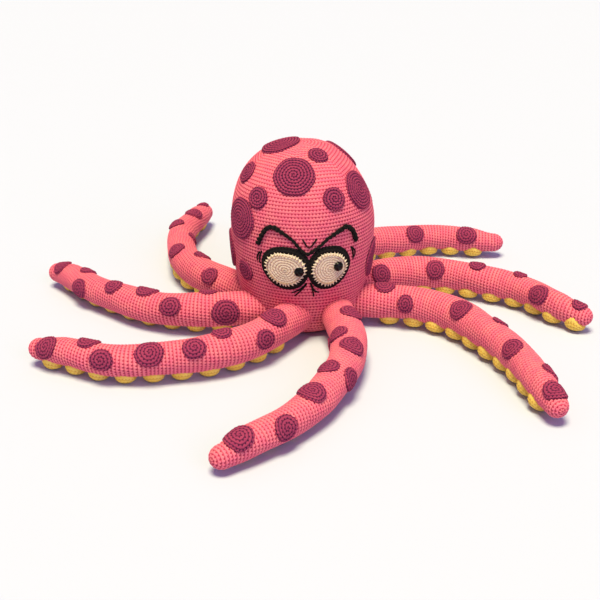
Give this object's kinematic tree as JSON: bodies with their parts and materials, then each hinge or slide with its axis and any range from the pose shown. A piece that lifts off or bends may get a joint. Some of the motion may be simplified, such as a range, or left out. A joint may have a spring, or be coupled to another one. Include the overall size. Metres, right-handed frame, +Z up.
{
  "type": "stuffed crochet octopus",
  "caption": "Stuffed crochet octopus toy: a tall dome head with a sewn frowning face, round sewn spots, and long curling arms lined with domed suckers.",
  "frame": {"origin": "centre of the head's flat underside, on the floor", "axes": "+Z up through the head's crown; the face looks to -Y"},
  "size_m": [0.6841, 0.735, 0.2325],
  "materials": {
    "pink_crochet": "double-knitting yarn in single crochet, matte with fine fuzz",
    "plum_crochet": "double-knitting yarn worked in rounds, matte",
    "yellow_crochet": "double-knitting yarn worked in rounds, matte",
    "cream_crochet": "double-knitting yarn worked in rounds, matte",
    "black_crochet": "double-knitting yarn, matte",
    "black_plastic": "polished",
    "white_plastic": "moulded, satin",
    "fiberfill": "loose polyester fill"
  },
  "bodies": {
    "head": {"head_cover": "pink_crochet", "head_stuffing": "fiberfill", "head_spots": "plum_crochet", "eye_white_left": "cream_crochet", "eye_white_right": "cream_crochet", "eye_rim_left": "black_crochet", "eye_rim_right": "black_crochet", "safety_eye_left": "black_plastic", "safety_eye_right": "black_plastic", "safety_eye_washers": "white_plastic", "eyebrows": "black_crochet", "face_stitches": "black_crochet"},
    "arm1_inner": {"arm1_inner_cover": "pink_crochet", "arm1_inner_stuffing": "fiberfill", "arm1_inner_suckers": "yellow_crochet"},
    "arm1_outer": {"arm1_outer_cover": "pink_crochet", "arm1_outer_stuffing": "fiberfill", "arm1_outer_suckers": "yellow_crochet"},
    "arm2_inner": {"arm2_inner_cover": "pink_crochet", "arm2_inner_stuffing": "fiberfill", "arm2_inner_suckers": "yellow_crochet"},
    "arm2_outer": {"arm2_outer_cover": "pink_crochet", "arm2_outer_stuffing": "fiberfill", "arm2_outer_suckers": "yellow_crochet"},
    "arm3_inner": {"arm3_inner_cover": "pink_crochet", "arm3_inner_stuffing": "fiberfill", "arm3_inner_suckers": "yellow_crochet"},
    "arm3_outer": {"arm3_outer_cover": "pink_crochet", "arm3_outer_stuffing": "fiberfill", "arm3_outer_suckers": "yellow_crochet"},
    "arm4_inner": {"arm4_inner_cover": "pink_crochet", "arm4_inner_stuffing": "fiberfill", "arm4_inner_suckers": "yellow_crochet"},
    "arm4_outer": {"arm4_outer_cover": "pink_crochet", "arm4_outer_stuffing": "fiberfill", "arm4_outer_suckers": "yellow_crochet"},
    "arm5_inner": {"arm5_inner_cover": "pink_crochet", "arm5_inner_stuffing": "fiberfill", "arm5_inner_suckers": "yellow_crochet"},
    "arm5_outer": {"arm5_outer_cover": "pink_crochet", "arm5_outer_stuffing": "fiberfill", "arm5_outer_suckers": "yellow_crochet"},
    "arm6_inner": {"arm6_inner_cover": "pink_crochet", "arm6_inner_stuffing": "fiberfill", "arm6_inner_suckers": "yellow_crochet"},
    "arm6_outer": {"arm6_outer_cover": "pink_crochet", "arm6_outer_stuffing": "fiberfill", "arm6_outer_suckers": "yellow_crochet"},
    "arm7_inner": {"arm7_inner_cover": "pink_crochet", "arm7_inner_stuffing": "fiberfill", "arm7_inner_suckers": "yellow_crochet"},
    "arm7_outer": {"arm7_outer_cover": "pink_crochet", "arm7_outer_stuffing": "fiberfill", "arm7_outer_suckers": "yellow_crochet"},
    "arm8_inner": {"arm8_inner_cover": "pink_crochet", "arm8_inner_stuffing": "fiberfill", "arm8_inner_suckers": "yellow_crochet"},
    "arm8_outer": {"arm8_outer_cover": "pink_crochet", "arm8_outer_stuffing": "fiberfill", "arm8_outer_suckers": "yellow_crochet"}
  },
  "joints": [
    {"name": "arm1_lift", "type": "hinge", "parent": "head", "child": "arm1_inner", "pos_m": [0.03945, -0.08089, 0.03], "axis": [-0.8988, -0.4384, 0], "range_deg": [-35, 35]},
    {"name": "arm1_curl", "type": "hinge", "parent": "arm1_inner", "child": "arm1_outer", "pos_m": [0.00993, -0.24046, 0.03], "axis": [0, 0, 1], "range_deg": [-30, 30]},
    {"name": "arm2_lift", "type": "hinge", "parent": "head", "child": "arm2_inner", "pos_m": [0.0851, -0.0293, 0.03], "axis": [-0.3256, -0.9455, 0], "range_deg": [-35, 35]},
    {"name": "arm2_curl", "type": "hinge", "parent": "arm2_inner", "child": "arm2_outer", "pos_m": [0.20779, -0.12563, 0.03], "axis": [0, 0, 1], "range_deg": [-30, 30]},
    {"name": "arm3_lift", "type": "hinge", "parent": "head", "child": "arm3_inner", "pos_m": [0.08089, 0.03945, 0.03], "axis": [0.4384, -0.8988, 0], "range_deg": [-35, 35]},
    {"name": "arm3_curl", "type": "hinge", "parent": "arm3_inner", "child": "arm3_outer", "pos_m": [0.23774, 0.03209, 0.03], "axis": [0, 0, 1], "range_deg": [-30, 30]},
    {"name": "arm4_lift", "type": "hinge", "parent": "head", "child": "arm4_inner", "pos_m": [0.0293, 0.0851, 0.03], "axis": [0.9455, -0.3256, 0], "range_deg": [-35, 35]},
    {"name": "arm4_curl", "type": "hinge", "parent": "arm4_inner", "child": "arm4_outer", "pos_m": [0.14903, 0.18668, 0.03], "axis": [0, 0, 1], "range_deg": [-30, 30]},
    {"name": "arm5_lift", "type": "hinge", "parent": "head", "child": "arm5_inner", "pos_m": [-0.03945, 0.08089, 0.03], "axis": [0.8988, 0.4384, 0], "range_deg": [-35, 35]},
    {"name": "arm5_curl", "type": "hinge", "parent": "arm5_inner", "child": "arm5_outer", "pos_m": [-0.01648, 0.23844, 0.03], "axis": [0, 0, 1], "range_deg": [-30, 30]},
    {"name": "arm6_lift", "type": "hinge", "parent": "head", "child": "arm6_inner", "pos_m": [-0.0851, 0.0293, 0.03], "axis": [0.3256, 0.9455, 0], "range_deg": [-35, 35]},
    {"name": "arm6_curl", "type": "hinge", "parent": "arm6_inner", "child": "arm6_outer", "pos_m": [-0.15448, 0.17384, 0.03], "axis": [0, 0, 1], "range_deg": [-30, 30]},
    {"name": "arm7_lift", "type": "hinge", "parent": "head", "child": "arm7_inner", "pos_m": [-0.08089, -0.03945, 0.03], "axis": [-0.4384, 0.8988, 0], "range_deg": [-35, 35]},
    {"name": "arm7_curl", "type": "hinge", "parent": "arm7_inner", "child": "arm7_outer", "pos_m": [-0.23116, 0.01316, 0.03], "axis": [0, 0, 1], "range_deg": [-30, 30]},
    {"name": "arm8_lift", "type": "hinge", "parent": "head", "child": "arm8_inner", "pos_m": [-0.0293, -0.0851, 0.03], "axis": [-0.9455, 0.3256, 0], "range_deg": [-35, 35]},
    {"name": "arm8_curl", "type": "hinge", "parent": "arm8_inner", "child": "arm8_outer", "pos_m": [-0.16662, -0.16508, 0.03], "axis": [0, 0, 1], "range_deg": [-30, 30]}
  ]
}
